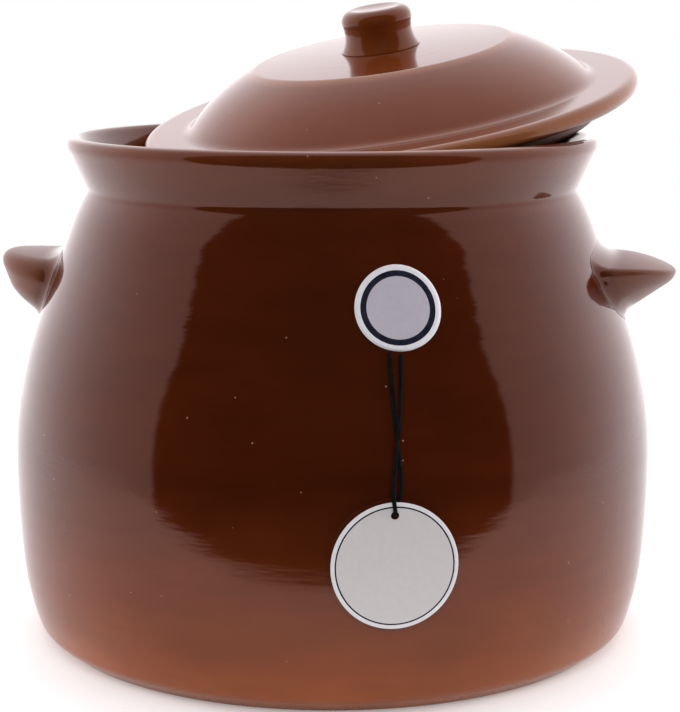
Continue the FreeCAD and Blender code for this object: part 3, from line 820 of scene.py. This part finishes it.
def lug_glaze():
    """The pot's glaze, which changes as a lug stands further out from the leaned shoulder."""
    material, tree, shader = new_material("lug_glaze", IOR=POT_IOR, Specular_Tint=POT_TINT)
    place = object_place(tree)
    level = height_of(tree, place)
    lean = math.tan(SHOULDER_LEAN)
    shoulder = body_arcs(0)[-1]
    shoulder_reach = shoulder[0] + shoulder[1] * lean
    across = measured(tree, "LENGTH", scaled(tree, place, (1, 1, 0)))
    reach = math_node(tree, "ADD", across, math_node(tree, "MULTIPLY", level, lean))
    out = mapped(tree, reach, shoulder_reach, shoulder_reach + LUG_FADE,
                 interpolation_type="SMOOTHSTEP")
    colour = mixed(tree, out, colour_by_height(tree, level), LUG_COLOUR)
    tree.links.new(mapped(tree, out, 0, 1, WALL_ROUGHNESS, LUG_ROUGHNESS), shader.inputs["Roughness"])
    glaze_finish(tree, shader, colour, scaled(tree, place, POT_RINGS), place, POT_MOTTLING)
    return material


def lid_glaze():
    """The lid's glaze, laid out in the lid's own frame so that its rings follow the turned shape."""
    material, tree, shader = new_material("lid_glaze", IOR=LID_IOR, Specular_Tint=LID_TINT)
    lid = lid_place()
    place = node(tree, "Mapping", {"Vector": object_place(tree), "Location": lid.to_translation(),
                                   "Rotation": lid.to_euler()}, vector_type="TEXTURE").outputs["Vector"]
    rise = height_of(tree, place)
    radius = measured(tree, "LENGTH", scaled(tree, place, (1, 1, 0)))
    # Where the underside is painted with shade and made duller.
    under = mapped(tree, rise, FLANGE_DEPTH, FLANGE_DEPTH + UNDERSIDE_FADE, 1, 0)
    # Painted highlights ride on the lid's colour as lighter rings.
    top_colour_with_highlights = ramp_of(tree, mapped(tree, radius, 0, BRIM_RADIUS), LID_STOPS_WITH_HIGHLIGHTS)
    colour = mixed(tree, under, top_colour_with_highlights, UNDERSIDE_SHADE_COLOUR)
    dull = mapped(tree, under, 0, 1, LID_ROUGHNESS, UNDERSIDE_ROUGHNESS)
    tree.links.new(dull, shader.inputs["Roughness"])
    rings = node(tree, "CombineXYZ", {"X": math_node(tree, "MULTIPLY", radius, LID_RINGS),
                                      "Y": math_node(tree, "MULTIPLY", rise, LID_RINGS)})
    glaze_finish(tree, shader, colour, rings.outputs["Vector"], place, LID_MOTTLING)
    return material


# Paper, card, ink and yarn

# Levels of the noise at which the flecks are darkest and lightest.
FLECK_RANGE = (0.35, 0.65)
# Each one's dark and light fleck, the fineness of its grain, its roughness and its gloss.
FLECKED = {
    "print_ink": ((0.008, 0.009, 0.020), (0.014, 0.016, 0.030), 300.0, 0.25, 0.5),
    "sticker_paper": ((0.45, 0.42, 0.48), (0.47, 0.44, 0.50), 400.0, 0.25, 0.5),
    "sticker_edge": ((0.71, 0.70, 0.74), (0.75, 0.74, 0.78), 400.0, 0.25, 0.5),
    "tag_card": ((0.585, 0.555, 0.555), (0.605, 0.575, 0.575), 500.0, 0.45, 0.5),
    "tag_edge": ((0.71, 0.70, 0.72), (0.75, 0.74, 0.76), 500.0, 0.45, 0.5),
    "cord_yarn": ((0.002, 0.002, 0.002), (0.007, 0.007, 0.008), 900.0, 0.8, 0.1),
}


def flecked_material(name, dark, light, scale, roughness, gloss):
    """Plain material with a faint fine-grained variation between two colours."""
    material, tree, shader = new_material(name, Roughness=roughness, Specular_IOR_Level=gloss)
    grain = noise(tree, object_place(tree), scale)
    stops = list(zip(FLECK_RANGE, (dark, light)))
    tree.links.new(ramp_of(tree, grain, stops), shader.inputs["Base Color"])
    return material


# Camera, floor and light

# The floor fades out round the pot, and soonest in front, where the glaze shows its edge. It glows
# a little, and less so where it is mirrored.
FLOOR_REACH = 1.2
FLOOR_COLOUR = (0.90, 0.90, 0.90, 1)
FLOOR_ROUGHNESS = 0.8
FLOOR_FRONT_FADE = (0.23, 0.28)
FLOOR_SIDE_FADE = (0.26, 0.90)
FLOOR_GLOW_SEEN = 0.18
FLOOR_GLOW_MIRRORED = 0.04
WHITE = (1, 1, 1, 1)

# Studio round the pot, seen as a direction: bright behind, at the sides and above, and dark where
# the camera stands. The camera itself sees plain white.
STUDIO_STRENGTH = 1.8
STUDIO_STOPS = [(0.0, 1.0), (0.25, 0.86), (0.5, 0.62), (0.705, 0.50), (0.72, 0.012)]
STUDIO_TINT = (1, 0.95, 0.98)

# Soft square lamps, each with its place, size and power, turned to the middle of the pot.
POT_MIDDLE = Vector((0, 0, 0.12))
LAMPS = {
    "front_fill": ((0.16, -1.25, 0.75), 1.0, 9.5),
    "left_side": ((-1.30, -0.05, 0.45), 0.8, 10.0),
    "right_side": ((1.25, 0.30, 0.45), 0.8, 10.0),
}


def make_camera():
    lens = bpy.data.cameras.new("camera")
    lens.lens = CAMERA_LENS
    lens.clip_start = CAMERA_CLIP
    camera = new_object("camera", lens)
    camera.location = CAMERA_PLACE
    camera.rotation_euler = (math.pi / 2 - CAMERA_PITCH, 0, CAMERA_YAW)
    bpy.context.scene.camera = camera


def make_floor():
    mesh = bpy.data.meshes.new("floor")
    corners = [(FLOOR_REACH * x, FLOOR_REACH * y, 0) for x, y in ((-1, -1), (1, -1), (1, 1), (-1, 1))]
    mesh.from_pydata(corners, [], [(0, 1, 2, 3)])
    floor = new_object("floor", mesh)
    material, tree, shader = new_material("pale_floor", Base_Color=FLOOR_COLOUR,
                                          Roughness=FLOOR_ROUGHNESS, Emission_Color=WHITE)
    mesh.materials.append(material)
    place = object_place(tree)
    forward = measured(tree, "DOT_PRODUCT", place, CAMERA_SIDE)
    away = measured(tree, "LENGTH", place)
    fades = [mapped(tree, distance, near, far, 1, 0, interpolation_type="SMOOTHSTEP")
             for distance, (near, far) in ((forward, FLOOR_FRONT_FADE), (away, FLOOR_SIDE_FADE))]
    tree.links.new(math_node(tree, "MULTIPLY", *fades), shader.inputs["Alpha"])
    rays = node(tree, "LightPath").outputs
    mirrored = math_node(tree, "MAXIMUM", rays["Is Glossy Ray"], rays["Is Transmission Ray"])
    glow = math_node(tree, "ADD", math_node(tree, "MULTIPLY", rays["Is Camera Ray"], FLOOR_GLOW_SEEN),
                     math_node(tree, "MULTIPLY", mirrored, FLOOR_GLOW_MIRRORED))
    tree.links.new(glow, shader.inputs["Emission Strength"])


def make_world():
    world = bpy.data.worlds.new("studio")
    bpy.context.scene.world = world
    world.use_nodes = True
    tree = world.node_tree
    background = tree.nodes["Background"]
    way = node(tree, "TexCoord").outputs["Generated"]
    toward = measured(tree, "DOT_PRODUCT", way, CAMERA_SIDE)
    stops = [(place, [level * part for part in STUDIO_TINT]) for place, level in STUDIO_STOPS]
    studio = ramp_of(tree, mapped(tree, toward, -1, 1), stops)
    rays = node(tree, "LightPath").outputs
    seen = math_node(tree, "MAXIMUM", rays["Is Camera Ray"], rays["Is Transmission Ray"])
    tree.links.new(mixed(tree, seen, studio, WHITE), background.inputs["Color"])
    tree.links.new(mapped(tree, seen, 0, 1, STUDIO_STRENGTH, 1), background.inputs["Strength"])


def make_lamp(name, place, size, power):
    """Lamp that doesn't show in the glaze."""
    light = bpy.data.lights.new(name, "AREA")
    light.shape = "SQUARE"
    light.size = size
    light.energy = power
    lamp = new_object(name, light)
    lamp.location = place
    lamp.rotation_euler = (Vector(place) - POT_MIDDLE).to_track_quat("Z", "Y").to_euler()
    lamp.visible_glossy = False
    lamp.visible_camera = False


# The whole scene

make_pot_wall(pot_glaze())
lug_finish = lug_glaze()
for lug_name, lug_sizes in LUGS.items():
    make_lug(lug_name, lug_sizes, lug_finish)
lid_finish = lid_glaze()
make_lid(lid_finish)
make_knob(lid_finish)
flecked = {name: flecked_material(name, *settings) for name, settings in FLECKED.items()}
make_sticker(flecked["sticker_paper"], flecked["print_ink"], flecked["sticker_edge"])
tag_piece = make_tag(flecked["tag_card"], flecked["print_ink"], flecked["tag_edge"])
make_cord(flecked["cord_yarn"])
make_camera()
make_floor()
make_world()
for lamp_name, lamp_settings in LAMPS.items():
    make_lamp(lamp_name, *lamp_settings)

bpy.context.scene.view_settings.view_transform = "Standard"
